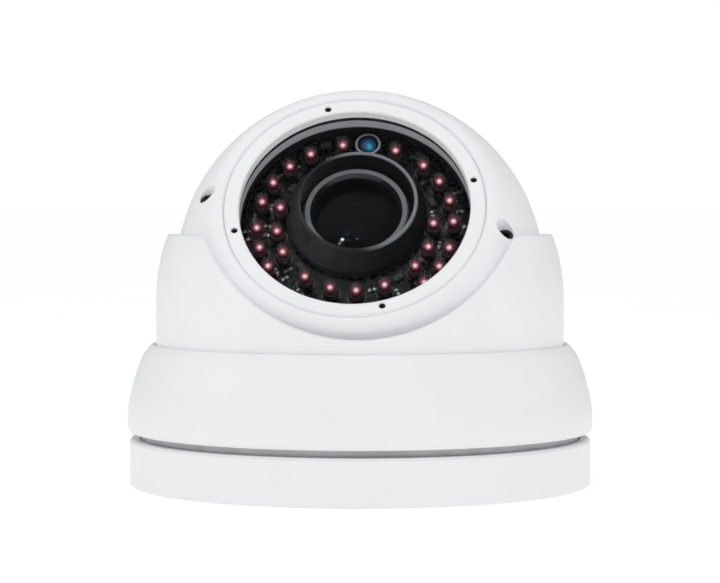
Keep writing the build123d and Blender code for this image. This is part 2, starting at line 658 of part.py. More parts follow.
with BuildPart() as front_shell:
    with BuildSketch(section) as front_section:
        with BuildLine():
            rim_r = sphere_r(BALL_R, FRONT_W)
            outer_start = degrees(asin(FRONT_W / BALL_R))
            crown_w = LAND_W - CROWN_ROUND
            crown_r = sqrt((BALL_R - CROWN_ROUND) ** 2 - crown_w ** 2)
            crown_angle = degrees(atan2(crown_w, crown_r))
            CenterArc((0, 0), BALL_R, outer_start, crown_angle - outer_start)
            CenterArc((crown_r, crown_w), CROWN_ROUND, crown_angle, 90 - crown_angle)
            Polyline(
                (crown_r, LAND_W), (BEZEL_R + BEZEL_SEAM + 0.3, LAND_W),
                (BEZEL_R + BEZEL_SEAM, LAND_W - 0.3), (BEZEL_R + BEZEL_SEAM, FACE_W - BEZEL_T),
                (SEAT_R_IN, FACE_W - BEZEL_T), (SEAT_R_IN, SEAT_W),
                (sphere_r(INNER_R, SEAT_W), SEAT_W),
            )
            inner_start = degrees(asin(SEAT_W / INNER_R))
            inner_end = degrees(asin(BORE_TOP / INNER_R))
            CenterArc((0, 0), INNER_R, inner_start, inner_end - inner_start)
            Polyline(
                (sphere_r(INNER_R, BORE_TOP), BORE_TOP), (BORE_R, BORE_TOP), (BORE_R, FRONT_W),
                (rim_r, FRONT_W),
            )
        make_face()
    revolve(axis=optical_axis)
    # towers for the lock screws and posts for the camera bracket
    with BuildSketch(optical.offset(BORE_TOP)) as tower_face:
        with PolarLocations(LOCK_PCR, 2):
            Circle(TOWER_R)
    extrude(tower_face.sketch, amount=22)
    with BuildSketch(optical.offset(BRACKET_W + BRACKET_T + TINY)) as post_face:
        with PolarLocations(POST_PCR, 2, start_angle=90):
            Circle(POST_R)
    extrude(post_face.sketch, amount=SEAT_W + 1 - BRACKET_W - BRACKET_T)
    with Locations(Location(optical.origin)):
        Sphere(BALL_R, mode=Mode.INTERSECT)
    # deep pockets for the lock screws, with clearance holes below
    with Locations(optical.offset(BALL_R)):
        with PolarLocations(LOCK_PCR, 2):
            CounterBoreHole(1.6, LOCK_POCKET_R, BALL_R - LOCK_FLOOR_W, depth=BALL_R - SPLIT_W)
    # tapped holes for the bezel screws and the bracket screws
    with Locations(optical.offset(FACE_W - BEZEL_T)):
        with PolarLocations(BEZEL_SCREW_PCR, 4, start_angle=BEZEL_SCREW_START):
            Hole(0.5, depth=4.2)
    with Locations(inward.offset(-BRACKET_W - BRACKET_T)):
        with PolarLocations(POST_PCR, 2, start_angle=90):
            Hole(1.25, depth=9)
save(front_shell, "front_shell")

with BuildPart() as lock_screws:
    for centre in PolarLocations(LOCK_PCR, 2):
        place = Plane(optical.location * centre)
        tube(place, LOCK_FLOOR_W, LOCK_HEAD_H, LOCK_POCKET_R - 0.15)
        tube(place, DOG_W, LOCK_FLOOR_W - DOG_W, 1.5)
        with BuildSketch(place.offset(LOCK_FLOOR_W + LOCK_HEAD_H)) as socket:
            RegularPolygon(1.45, 6)
        extrude(socket.sketch, amount=-1.8, mode=Mode.SUBTRACT)
save(lock_screws, "lock_screws")

with BuildPart() as clamp_dogs:
    with BuildSketch(optical.offset(DOG_W - 0.2)) as dog_face:
        with PolarLocations(DOG_PCR, 2):
            RectangleRounded(DOG_LENGTH, DOG_WIDTH, 1.2)
        with PolarLocations(LOCK_PCR, 2):
            Circle(1.5, mode=Mode.SUBTRACT)
    extrude(dog_face.sketch, amount=FLANGE_W - SHELL_GAP - DOG_W + 0.2)
save(clamp_dogs, "clamp_dogs")

# ---------------------------------------------------------------- window and bezel
with BuildPart() as bezel_ring:
    with BuildSketch(section) as bezel_section:
        with BuildLine():
            Polyline(
                (BEZEL_IN, FACE_W - BEZEL_T), (BEZEL_R + BEZEL_SEAM - TINY, FACE_W - BEZEL_T),
                (BEZEL_R + BEZEL_SEAM - TINY, FACE_W - SEAM_DEPTH), (BEZEL_R, FACE_W - SEAM_DEPTH),
                (BEZEL_R, FACE_W - 0.5),
            )
            TangentArc((BEZEL_R, FACE_W - 0.5), (BEZEL_R - 0.5, FACE_W), tangent=(0, 1))
            Line((BEZEL_R - 0.5, FACE_W), (BEZEL_IN + 0.6, FACE_W))
            TangentArc((BEZEL_IN + 0.6, FACE_W), (BEZEL_IN, FACE_W - 0.6), tangent=(-1, 0))
            Line((BEZEL_IN, FACE_W - 0.6), (BEZEL_IN, FACE_W - BEZEL_T))
        make_face()
    revolve(axis=optical_axis)
    with Locations(optical.offset(FACE_W)):
        with PolarLocations(BEZEL_SCREW_PCR, 4, start_angle=BEZEL_SCREW_START):
            CounterBoreHole(0.6, BEZEL_HEAD_R, BEZEL_HEAD_DEPTH)
save(bezel_ring, "bezel_ring")

with BuildPart() as bezel_screws:
    for centre in PolarLocations(BEZEL_SCREW_PCR, 4, start_angle=BEZEL_SCREW_START):
        place = Plane(optical.location * centre)
        tube(place, FACE_W - BEZEL_HEAD_DEPTH, 1.2, BEZEL_HEAD_R - TINY)
        tube(place, FACE_W - BEZEL_T - 3.6, BEZEL_T + 3.6 - BEZEL_HEAD_DEPTH, 0.5)
        with BuildSketch(place.offset(FACE_W - BEZEL_HEAD_DEPTH + 1.2)) as socket:
            RegularPolygon(0.5, 6)
        extrude(socket.sketch, amount=-0.7, mode=Mode.SUBTRACT)
save(bezel_screws, "bezel_screws")

GLASS_W = FACE_W - BEZEL_T - WINDOW_T
with BuildPart() as window_glass:
    tube(optical, GLASS_W, WINDOW_T, WINDOW_R)
    chamfer(window_glass.edges().filter_by(GeomType.CIRCLE), 0.2)
save(window_glass, "window_glass")

with BuildPart() as window_gasket:
    tube(optical, GLASS_W - GASKET_H, GASKET_H, WINDOW_R, BAFFLE_R)
save(window_gasket, "window_gasket")

with BuildPart() as baffle_ring:
    tube(optical, SEAT_W - SEAT_T, GLASS_W - GASKET_H - SEAT_W + SEAT_T, SEAT_R_IN - TINY, BAFFLE_R)
    tube(optical, SEAT_W - SEAT_T, SEAT_T, SEAT_FLANGE_R, BAFFLE_R)
    with BuildSketch(optical.offset(BOARD_W)) as leg_face:
        with PolarLocations(BOARD_SCREW_PCR, 4, start_angle=BOARD_SCREW_START):
            Circle(1.9)
    extrude(leg_face.sketch, amount=SEAT_W - SEAT_T - BOARD_W)
    with Locations(inward.offset(-BOARD_W)):
        with PolarLocations(BOARD_SCREW_PCR, 4, start_angle=BOARD_SCREW_START):
            Hole(0.9, depth=4.4)
save(baffle_ring, "baffle_ring")

# ---------------------------------------------------------------- infrared board
with BuildPart() as led_board:
    tube(optical, BOARD_W - BOARD_T, BOARD_T, BOARD_R)
    tube(lens, BOARD_W - BOARD_T, BOARD_T, BOARD_HOLE_R, mode=Mode.SUBTRACT)
    with Locations(optical.offset(BOARD_W)):
        with PolarLocations(BOARD_SCREW_PCR, 4, start_angle=BOARD_SCREW_START):
            Hole(1.0, depth=BOARD_T)
save(led_board, "led_board")

with BuildPart() as led_board_screws:
    for centre in PolarLocations(BOARD_SCREW_PCR, 4, start_angle=BOARD_SCREW_START):
        place = Plane(optical.location * centre)
        tube(place, BOARD_W - BOARD_T - 1.3, 1.3, 1.8)
        tube(place, BOARD_W - BOARD_T, BOARD_T + 4.0, 0.9)
save(led_board_screws, "led_board_screws")


def from_top(radius, angle):
    """A point on a ring, its angle counted clockwise from the module's top."""
    return (radius * sin(radians(angle)), radius * cos(radians(angle)))


emitters = Plane(optical.location * Location((LED_CENTRE_X, LED_CENTRE_Y, 0), (0, 0, 1), LED_TURN))
outer_angles = [16] + [36 + 15 * step for step in range(4)] + [99.5 + 14 * step for step in range(3)]
inner_angles = [82, 103, 122, 149.5, 170.5]
led_points = [from_top(OUTER_RING_R, side * angle) for angle in outer_angles for side in (-1, 1)]
led_points += [from_top(INNER_RING_R, side * angle) for angle in inner_angles for side in (-1, 1)]

with BuildPart() as ir_leds:
    with BuildSketch(emitters.offset(BOARD_W)) as led_feet:
        with Locations(*led_points):
            Circle(LED_FLANGE_R)
    extrude(led_feet.sketch, amount=1.0)
    with BuildSketch(emitters.offset(BOARD_W)) as led_bodies:
        with Locations(*led_points):
            Circle(LED_R)
    extrude(led_bodies.sketch, amount=LED_H - LED_R)
    with Locations(emitters.offset(BOARD_W + LED_H - LED_R)):
        with Locations(*led_points):
            Sphere(LED_R)
save(ir_leds, "ir_leds")

sensor_spot = Plane(emitters.location * Location((*from_top(SENSOR_PCR, SENSOR_ANGLE), 0)))
with BuildPart() as light_sensor:
    tube(sensor_spot, BOARD_W, SENSOR_STEM, SENSOR_R)
    with Locations(sensor_spot.offset(BOARD_W + SENSOR_STEM)):
        Sphere(SENSOR_R)
save(light_sensor, "light_sensor")

with BuildPart() as sensor_holder:
    tube(sensor_spot, BOARD_W, HOLDER_H, HOLDER_R, SENSOR_R + TINY)
save(sensor_holder, "sensor_holder")

chip_spots = [(24.8, 57), (25.3, -59.5), (20.8, 134), (20.6, -136), (33.3, 26), (33.3, -26)]
with BuildPart() as board_components:
    for radius, angle in chip_spots:
        spot = optical.location * Location((*from_top(radius, angle), 0), (0, 0, 1), -angle)
        with Locations(Plane(spot).offset(BOARD_W)):
            Box(3.0, 1.6, 1.1, align=BOTTOM)
save(board_components, "board_components")

# ---------------------------------------------------------------- lens cowl
cowl_rim = Plane(optical.location * Location((COWL_RIM_X, COWL_RIM_Y, 0)))
with BuildPart() as lens_cowl:
    tube(lens, BOARD_W, COWL_KNEE_W - BOARD_W, COWL_BASE_R)
    with BuildSketch(lens.offset(COWL_KNEE_W)) as cowl_knee:
        Circle(COWL_BASE_R)
    with BuildSketch(cowl_rim.offset(COWL_TOP_W)) as cowl_edge:
        Circle(COWL_RIM_R)
    loft([cowl_knee.sketch, cowl_edge.sketch])
    fillet(lens_cowl.edges().filter_by(GeomType.CIRCLE).sort_by(optical_axis)[-1], 0.35)
    with BuildSketch(lens.offset(BOARD_W)) as cowl_bore:
        Circle(COWL_BORE_R)
    with BuildSketch(cowl_rim.offset(COWL_TOP_W)) as cowl_mouth:
        Circle(COWL_BORE_R)
    loft([cowl_bore.sketch, cowl_mouth.sketch], mode=Mode.SUBTRACT)
    # relieved round the emitters and the daylight sensor
    with BuildSketch(emitters.offset(BOARD_W)) as relief:
        with Locations(*led_points):
            Circle(LED_FLANGE_R + 0.1)
        with Locations(from_top(SENSOR_PCR, SENSOR_ANGLE)):
            Circle(HOLDER_R + 0.1)
    extrude(relief.sketch, amount=LED_H + 1, mode=Mode.SUBTRACT)
save(lens_cowl, "lens_cowl")

# ---------------------------------------------------------------- lens
with BuildPart() as lens_barrel:
    turned(lens_section, lens_axis, [
        (5.4, -3.8), (6.95, -3.8), (6.95, 1.1), (13.0, 1.1), (13.0, 3.0), (BARREL_R, 3.0),
        (BARREL_R, BARREL_TOP), (10.9, BARREL_TOP), (10.9, 3.0), (5.4, 1.6)])
save(lens_barrel, "lens_barrel")

with BuildPart() as zoom_ring:
    with BuildSketch(lens.offset(ZOOM_RING_W)) as zoom_face:
        Circle(RING_R)
        with PolarLocations(RING_R + KNURL_OUT, KNURLS):
            Circle(KNURL_R, mode=Mode.SUBTRACT)
        Circle(BARREL_R + TINY, mode=Mode.SUBTRACT)
    extrude(zoom_face.sketch, amount=ZOOM_RING_H)
    zoom_tap = Plane(lens.location * Location((0, 0, 6.0), (0, 1, 0), 90))
    tube(zoom_tap, 12.5, 5, 0.9, mode=Mode.SUBTRACT)
save(zoom_ring, "zoom_ring")

with BuildPart() as zoom_lock_screw:
    tube(zoom_tap, 12.6, 3.8, 0.9)
    tube(zoom_tap, 16.4, 3.6, 1.9)
save(zoom_lock_screw, "zoom_lock_screw")

FOCUS_IN = 13.25
with BuildPart() as focus_ring:
    with BuildSketch(lens.offset(FOCUS_RING_W)) as focus_face:
        Circle(RING_R)
        with PolarLocations(RING_R + KNURL_OUT, KNURLS):
            Circle(KNURL_R, mode=Mode.SUBTRACT)
        Circle(FOCUS_IN, mode=Mode.SUBTRACT)
    extrude(focus_face.sketch, amount=FOCUS_RING_H)
    focus_tap = Plane(lens.location * Location((0, 0, 16.0), (0, 1, 0), 180 + 90))
    tube(focus_tap, 13.0, 5, 0.9, mode=Mode.SUBTRACT)
save(focus_ring, "focus_ring")

with BuildPart() as focus_lock_screw:
    tube(focus_tap, 13.6, 2.8, 0.9)
    tube(focus_tap, 16.4, 3.6, 1.9)
save(focus_lock_screw, "focus_lock_screw")

CELL_R = 15.6
GLASS_R = 12.9
GLASS_BOTTOM = 23.7
with BuildPart() as front_cell:
    turned(lens_section, lens_axis, [
        (BARREL_R + TINY, 13.0), (FOCUS_IN - TINY, 13.0), (FOCUS_IN - TINY, 23.6), (CELL_R, 23.6),
        (CELL_R, 26.3), (CELL_R - 0.4, 26.7), (13.9, 26.7), (GLASS_R + TINY, 25.4),
        (GLASS_R + TINY, GLASS_BOTTOM), (BARREL_R + TINY, GLASS_BOTTOM)])
save(front_cell, "front_cell")

GLASS_CURVE = 45.0
GLASS_TOP = 26.0
glass_half_angle = degrees(asin(GLASS_R / GLASS_CURVE))
GLASS_EDGE = GLASS_TOP - GLASS_CURVE + GLASS_CURVE * cos(radians(glass_half_angle))
with BuildPart() as front_element:
    with BuildSketch(lens_section) as glass_section:
        with BuildLine():
            Polyline((0, GLASS_TOP), (0, GLASS_BOTTOM), (GLASS_R, GLASS_BOTTOM), (GLASS_R, GLASS_EDGE))
            CenterArc((0, GLASS_TOP - GLASS_CURVE), GLASS_CURVE, 90 - glass_half_angle, glass_half_angle)
        make_face()
    revolve(axis=lens_axis)
save(front_element, "front_element")

with BuildPart() as zoom_cell:
    tube(lens, 7.0, 6.0, 10.85, 8.6)
save(zoom_cell, "zoom_cell")

with BuildPart() as zoom_element:
    tube(lens, 8.4, 3.2, 8.6)
save(zoom_element, "zoom_element")

# ---------------------------------------------------------------- bracket and electronics
with BuildPart() as camera_bracket:
    with BuildSketch(optical.offset(BRACKET_W)) as bracket_face:
        Circle(31.0)
        SlotCenterToCenter(2 * POST_PCR, 2 * POST_R, rotation=90)
        with PolarLocations(POST_PCR, 2, start_angle=90):
            Circle(1.3, mode=Mode.SUBTRACT)
        with Locations((LENS_X, LENS_Y)):
            Circle(17.5, mode=Mode.SUBTRACT)
        with Locations((0, -25.4)):
            Rectangle(13, 3.4, mode=Mode.SUBTRACT)
    extrude(bracket_face.sketch, amount=BRACKET_T)
save(camera_bracket, "camera_bracket")

with BuildPart() as bracket_screws:
    for centre in PolarLocations(POST_PCR, 2, start_angle=90):
        place = Plane(optical.location * centre)
        tube(place, BRACKET_W - 1.8, 1.8, 2.3)
        tube(place, BRACKET_W, 9.0, 1.25)
save(bracket_screws, "bracket_screws")

with BuildPart() as board_standoffs:
    with BuildSketch(lens.offset(SENSOR_BOARD_W)) as long_face:
        with GridLocations(2 * STANDOFF_XY, 2 * STANDOFF_XY, 2, 2):
            RegularPolygon(2.0, 6)
    extrude(long_face.sketch, amount=BRACKET_W - SENSOR_BOARD_W)
    with BuildSketch(lens.offset(MAIN_BOARD_W)) as short_face:
        with GridLocations(2 * STANDOFF_XY, 2 * STANDOFF_XY, 2, 2):
            RegularPolygon(2.0, 6)
    extrude(short_face.sketch, amount=SENSOR_BOARD_W - PCB_T - MAIN_BOARD_W)
save(board_standoffs, "board_standoffs")

with BuildPart() as sensor_board:
    with BuildSketch(lens.offset(SENSOR_BOARD_W - PCB_T)) as sensor_board_face:
        RectangleRounded(PCB_SIZE, PCB_SIZE, 1.5)
    extrude(sensor_board_face.sketch, amount=PCB_T)
save(sensor_board, "sensor_board")

with BuildPart() as image_sensor:
    with Locations(lens.offset(SENSOR_BOARD_W)):
        Box(8.4, 7.4, 1.2, align=BOTTOM)
save(image_sensor, "image_sensor")

with BuildPart() as main_board:
    with BuildSketch(lens.offset(MAIN_BOARD_W - PCB_T)) as main_board_face:
        RectangleRounded(PCB_SIZE, PCB_SIZE, 1.5)
    extrude(main_board_face.sketch, amount=PCB_T)
    with Locations(lens.offset(MAIN_BOARD_W - PCB_T)):
        with Locations((-4, 3, -1.4)):
            Box(12, 12, 1.4, align=BOTTOM)
        with Locations((11, -9, -3.0)):
            Box(8, 5, 3.0, align=BOTTOM)
        with Locations((10, 8, -4.0)):
            Cylinder(2.5, 4.0, align=BOTTOM)
        with Locations((0, -15.6, -1.2)):
            Box(10, 3.4, 1.2, align=BOTTOM)
save(main_board, "main_board")

MOUNT_TOP = -1.0
with BuildPart() as lens_mount:
    with BuildSketch(lens.offset(SENSOR_BOARD_W)) as mount_face:
        RectangleRounded(24, 18, 1.5)
    extrude(mount_face.sketch, amount=MOUNT_TOP - SENSOR_BOARD_W)
    tube(lens, MOUNT_TOP, 2.0, 9.0)
    tube(lens, -3.9, 6.0, 7.0, mode=Mode.SUBTRACT)
    # light box over the sensor, and the slot that the filter slides in
    with Locations(lens.offset(SENSOR_BOARD_W)):
        Box(10.0, 9.0, 5.2, align=BOTTOM, mode=Mode.SUBTRACT)
    with Locations(lens.offset(-6.6)):
        Box(21.6, 10.2, 1.8, align=BOTTOM, mode=Mode.SUBTRACT)
save(lens_mount, "lens_mount")

with BuildPart() as ir_cut_filter:
    with Locations(lens.offset(-6.5)):
        with Locations((-3.4, 0, 0)):
            Box(14.0, 10.0, 1.6, align=BOTTOM)
save(ir_cut_filter, "ir_cut_filter")

# The ribbon runs from the back of the infrared board, through the bracket, to the main board.
ribbon_side = Plane(origin=BALL_CENTRE, x_dir=optical.y_dir, z_dir=optical.x_dir)
RIBBON_Y = -25.4
RIBBON_T = 0.4
RIBBON_END = MAIN_BOARD_W - PCB_T - 1.2
with BuildPart() as ribbon_cable:
    with BuildSketch(ribbon_side.offset(-4.5)) as ribbon_face:
        with BuildLine():
            Polyline(
                (RIBBON_Y, BOARD_W - BOARD_T - TINY), (RIBBON_Y, RIBBON_END - RIBBON_T),
                (RIBBON_Y + 14, RIBBON_END - RIBBON_T), (RIBBON_Y + 14, RIBBON_END),
                (RIBBON_Y + RIBBON_T, RIBBON_END), (RIBBON_Y + RIBBON_T, BOARD_W - BOARD_T - TINY),
                close=True,
            )
        make_face()
    extrude(ribbon_face.sketch, amount=9.0)
save(ribbon_cable, "ribbon_cable")
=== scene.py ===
"""Looks for the turret dome camera: materials, small visible details, light and camera."""
import json
import math
import random

import bmesh
import bpy
from mathutils import Matrix, Vector


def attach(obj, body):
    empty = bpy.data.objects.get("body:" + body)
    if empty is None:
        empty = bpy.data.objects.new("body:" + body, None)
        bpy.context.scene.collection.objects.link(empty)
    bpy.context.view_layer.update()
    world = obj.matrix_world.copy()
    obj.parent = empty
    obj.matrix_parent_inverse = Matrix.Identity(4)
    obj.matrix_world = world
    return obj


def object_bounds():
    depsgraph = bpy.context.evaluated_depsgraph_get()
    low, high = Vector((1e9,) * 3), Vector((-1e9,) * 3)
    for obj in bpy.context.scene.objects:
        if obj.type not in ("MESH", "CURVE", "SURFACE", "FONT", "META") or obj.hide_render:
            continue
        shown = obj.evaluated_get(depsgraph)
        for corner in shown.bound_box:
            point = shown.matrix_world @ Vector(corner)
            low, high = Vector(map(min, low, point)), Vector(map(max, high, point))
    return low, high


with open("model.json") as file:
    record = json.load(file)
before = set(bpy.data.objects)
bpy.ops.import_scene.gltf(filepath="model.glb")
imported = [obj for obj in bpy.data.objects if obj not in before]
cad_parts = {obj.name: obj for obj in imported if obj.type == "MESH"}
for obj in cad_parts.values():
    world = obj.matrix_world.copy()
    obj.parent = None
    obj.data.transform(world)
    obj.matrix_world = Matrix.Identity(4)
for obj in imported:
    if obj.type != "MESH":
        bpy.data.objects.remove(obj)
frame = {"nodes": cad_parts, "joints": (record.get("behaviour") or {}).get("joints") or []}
cad_low, cad_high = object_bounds()
nodes = frame["nodes"]
joints = {joint["name"]: joint for joint in frame["joints"]}

MM = 0.001

# ---------------------------------------------------------------- frames taken from the joints
CENTRE = Vector(joints["roll"]["pos_m"])
TOWARD = Vector(joints["roll"]["axis"]).normalized()
ACROSS = Vector(joints["filter_shift"]["axis"]).normalized()
UPWARD = TOWARD.cross(ACROSS).normalized()
LENS_POINT = Vector(joints["focus_turn"]["pos_m"])

OPTICAL = Matrix((
    (ACROSS.x, UPWARD.x, TOWARD.x, CENTRE.x),
    (ACROSS.y, UPWARD.y, TOWARD.y, CENTRE.y),
    (ACROSS.z, UPWARD.z, TOWARD.z, CENTRE.z),
    (0, 0, 0, 1),
))
INTO_OPTICAL = OPTICAL.inverted()
LENS_SHIFT = INTO_OPTICAL @ LENS_POINT
LENS = OPTICAL @ Matrix.Translation((LENS_SHIFT.x, LENS_SHIFT.y, 0))

# ---------------------------------------------------------------- sizes that the looks depend on
WHITE_COAT = (0.83, 0.835, 0.85)
PAINT_ROUGHNESS = 0.42
EDGE_RADIUS = 0.5 * MM          # softening of the painted parts' edges
SHUT_IN_REACH = 9 * MM          # how far the paint looks for surfaces that shut it in, to place its painted fill light

# All in mm: depths along the optical axis, and places across it as (right, up)
PAINTED_GLINT_AT = (-2.6, -9.5)         # a painted glint of a lamp on the front glass, from the lens axis
PAINTED_SPECKS_AT = (0.9, -7.6)         # middle of the faint blue spots of painted reflection beside it
BAFFLE_SHADED = 29.0              # depth from the ball's centre where the baffle tube's painted shade is still full black
BAFFLE_LIT = 29.8               # and where the painted shade has given way to lit grey
COWL_RIM_HIGHLIGHT = (30.75, 31.15)       # depths from the focus joint that the cowl's painted rim highlight fades in over
CELL_FACE = (13.75, 13.95)      # radii that the front ring's black bevel ends over
SENSOR_HIGHLIGHT = (0.7, -1.5)      # painted cyan highlight, from the middle of the light sensor

CORE_R = 1.85                   # the emitter's glow, as the epoxy magnifies it
CORE_DEPTH = 2.95               # from the emitter's tip to the middle of the glow
CORE_STEPS = 12                 # steps from pole to pole
LEAD_FRAME = [(0.0, -5.4), (1.5, -5.3), (2.0, -4.9), (2.05, -5.6), (1.5, -6.1), (1.4, -7.6), (0.0, -7.6)]

SEED = 11
RESISTOR_COUNT = 44
RESISTOR_CLEARANCE = 2.35       # from a resistor's middle to anything else on the board
PLACING_TRIES = 4000
BOARD_INNER = 21.0              # radii from the ball's axis that the resistors lie between
BOARD_OUTER = 33.2
COWL_REACH = 22.6               # radius from the lens axis that the cowl covers
SIDE_COSINE = 0.35              # least sideways share of a part's bearing, so top and bottom stay clear
RESISTOR_BODY = (1.1, 0.85, 0.45)       # length, width, height
RESISTOR_CAP = (0.42, 0.9, 0.5)
CAP_OFFSET = 0.72               # from the resistor's middle to the middle of each cap
POOL_SPREAD = 1.5               # how many times farther out than its cap a pool of solder lies
SOLDER_POOL = [(0.0, 0.30), (0.25, 0.24), (0.42, 0.02), (0.0, 0.0)]


# ---------------------------------------------------------------- material building
def rgb(*values):
    return (*values, 1.0)


class Shader:
    """A node material, built up one node at a time."""

    def __init__(self, name):
        self.material = bpy.data.materials.new(name)
        self.material.use_nodes = True
        self.tree = self.material.node_tree
        self.tree.nodes.clear()
        self.output = self.add("ShaderNodeOutputMaterial")
        self.coords = self.add("ShaderNodeTexCoord").outputs["Object"]

    def add(self, kind, inputs=None, **settings):
        node = self.tree.nodes.new(kind)
        for key, value in settings.items():
            setattr(node, key, value)
        for key, value in (inputs or {}).items():
            self.set(node, key, value)
        return node

    def set(self, node, key, value):
        if isinstance(value, bpy.types.NodeSocket):
            self.tree.links.new(value, node.inputs[key])
        else:
            node.inputs[key].default_value = value

    def noise(self, scale, detail=4.0, roughness=0.55):
        found = self.add("ShaderNodeTexNoise", {
            "Vector": self.coords, "Scale": scale, "Detail": detail, "Roughness": roughness})
        return found.outputs["Fac"]

    def ramp(self, value, stops):
        node = self.add("ShaderNodeValToRGB", {"Fac": value})
        points = node.color_ramp.elements
        while len(points) < len(stops):
            points.new(0.5)
        for point, (place, colour) in zip(points, stops):
            point.position = place
            point.color = colour
        return node.outputs["Color"]

    def cloudy(self, colour, shift, scale, detail):
        """The colour, a little darker and lighter in soft patches."""
        dark = rgb(*[c * (1 - shift) for c in colour])
        light = rgb(*[min(1.0, c * (1 + shift)) for c in colour])
        return self.ramp(self.noise(scale, detail), [(0.3, dark), (0.7, light)])

    def spread(self, value, low, high):
        """A 0 to 1 value, stretched over low to high."""
        node = self.add("ShaderNodeMapRange", {"Value": value, "To Min": low, "To Max": high})
        return node.outputs["Result"]

    def maths(self, operation, a, b):
        return self.add("ShaderNodeMath", {0: a, 1: b}, operation=operation).outputs[0]

    def bump(self, height, distance, strength, normal=None):
        inputs = {"Height": height, "Distance": distance, "Strength": strength}
        if normal is not None:
            inputs["Normal"] = normal
        return self.add("ShaderNodeBump", inputs).outputs["Normal"]

    def along(self, origin, axis):
        """Distance in mm along an axis, and distance in mm from it."""
        offset = self.add("ShaderNodeVectorMath", {0: self.coords, 1: tuple(origin)}, operation="SUBTRACT")
        pair = {0: offset.outputs[0], 1: tuple(axis)}
        reach = self.add("ShaderNodeVectorMath", pair, operation="DOT_PRODUCT")
        sweep = self.add("ShaderNodeVectorMath", pair, operation="CROSS_PRODUCT")
        away = self.add("ShaderNodeVectorMath", {0: sweep.outputs[0]}, operation="LENGTH")
        to_mm = 1 / MM
        return (self.maths("MULTIPLY", reach.outputs["Value"], to_mm),
                self.maths("MULTIPLY", away.outputs["Value"], to_mm))

    def step(self, value, low, high):
        """0 below low, 1 above high, smooth between."""
        node = self.add("ShaderNodeMapRange", {"Value": value, "From Min": low, "From Max": high},
                        interpolation_type="SMOOTHSTEP")
        return node.outputs["Result"]

    def blend(self, amount, first, second):
        node = self.add("ShaderNodeMix", {"Factor": amount}, data_type="RGBA")
        for index, colour in ((6, first), (7, second)):
            self.set(node, index, colour)
        return node.outputs[2]

    def soft_edges(self, radius):
        return self.add("ShaderNodeBevel", {"Radius": radius}, samples=3).outputs["Normal"]

    def principled(self, **inputs):
        names = {key.replace("_", " "): value for key, value in inputs.items()}
        return self.add("ShaderNodeBsdfPrincipled", names).outputs["BSDF"]

    def finish(self, surface):
        self.set(self.output, "Surface", surface)
        return self.material


def paint(name, colour, painted_fill=0.0):
    """Satin powder coat with soft edges and fine orange peel. Where it is shut in, it glows by up to fill: a
    painted fill light that lifts the shade in gaps and seams.
    """
    s = Shader(name)
    tint = s.cloudy(colour, 0.02, 38.0, 3.0)
    sheen = s.spread(s.noise(220.0, 3.0), PAINT_ROUGHNESS - 0.05, PAINT_ROUGHNESS + 0.05)
    peel = s.bump(s.noise(1600.0, 2.0), 0.02 * MM, 0.35, s.soft_edges(EDGE_RADIUS))
    # painted fill light: the paint glows where ambient occlusion finds it shut in, lifting the shade in gaps
    # and seams
    openness = s.add("ShaderNodeAmbientOcclusion", {"Distance": SHUT_IN_REACH}, samples=6).outputs["AO"]
    painted_fill_glow = s.maths("MULTIPLY", s.maths("SUBTRACT", 1.0, openness), painted_fill)
    return s.finish(s.principled(Base_Color=tint, Roughness=sheen, Normal=peel, IOR=1.46,
                                 Emission_Color=rgb(0.97, 0.98, 1.0), Emission_Strength=painted_fill_glow))


def moulded(name, colour, roughness=0.5, grain=2400.0, depth=0.03 * MM, shift=0.18):
    """Moulded plastic or rubber with a spark-eroded grain and slight colour variation."""
    s = Shader(name)
    tint = s.cloudy(colour, shift, 90.0, 4.0)
    sheen = s.spread(s.noise(400.0), roughness - 0.08, roughness + 0.08)
    peel = s.bump(s.noise(grain, 3.0), depth, 0.6)
    return s.finish(s.principled(Base_Color=tint, Roughness=sheen, Normal=peel, IOR=1.45))


def metal(name, colour, roughness, grain=900.0, depth=0.01 * MM):
    """Bare or plated metal with fine machining variation."""
    s = Shader(name)
    tint = s.cloudy(colour, 0.08, 160.0, 5.0)
    sheen = s.spread(s.noise(700.0), roughness - 0.07, roughness + 0.09)
    peel = s.bump(s.noise(grain, 4.0), depth, 0.5)
    return s.finish(s.principled(Base_Color=tint, Metallic=1.0, Roughness=sheen, Normal=peel))


def glass_mix(s, tint, ior, roughness):
    """Light passes straight through; the outward faces add a fresnel reflection on top."""
    wave = s.bump(s.noise(60.0, 2.0), 0.004 * MM, 0.2)
    through = s.add("ShaderNodeBsdfTransparent", {"Color": tint}).outputs["BSDF"]
    sheen = s.spread(s.noise(300.0), roughness, roughness + 0.02)
    gloss = s.add("ShaderNodeBsdfAnisotropic", {"Color": rgb(1, 1, 1), "Roughness": sheen, "Normal": wave})
    edge = s.add("ShaderNodeFresnel", {"IOR": ior, "Normal": wave}).outputs["Fac"]
    outward = s.maths("SUBTRACT", 1.0, s.add("ShaderNodeNewGeometry").outputs["Backfacing"])
    amount = s.maths("MULTIPLY", edge, outward)
    return s.add("ShaderNodeMixShader", {0: amount, 1: through, 2: gloss.outputs["BSDF"]}).outputs["Shader"]


def clear(name, tint, ior, roughness=0.02):
    """Thin clear glass or epoxy."""
    s = Shader(name)
    return s.finish(glass_mix(s, tint, ior, roughness))


def dress(material, *names):
    for name in names:
        node = nodes[name]
        node.data.materials.clear()
        node.data.materials.append(material)


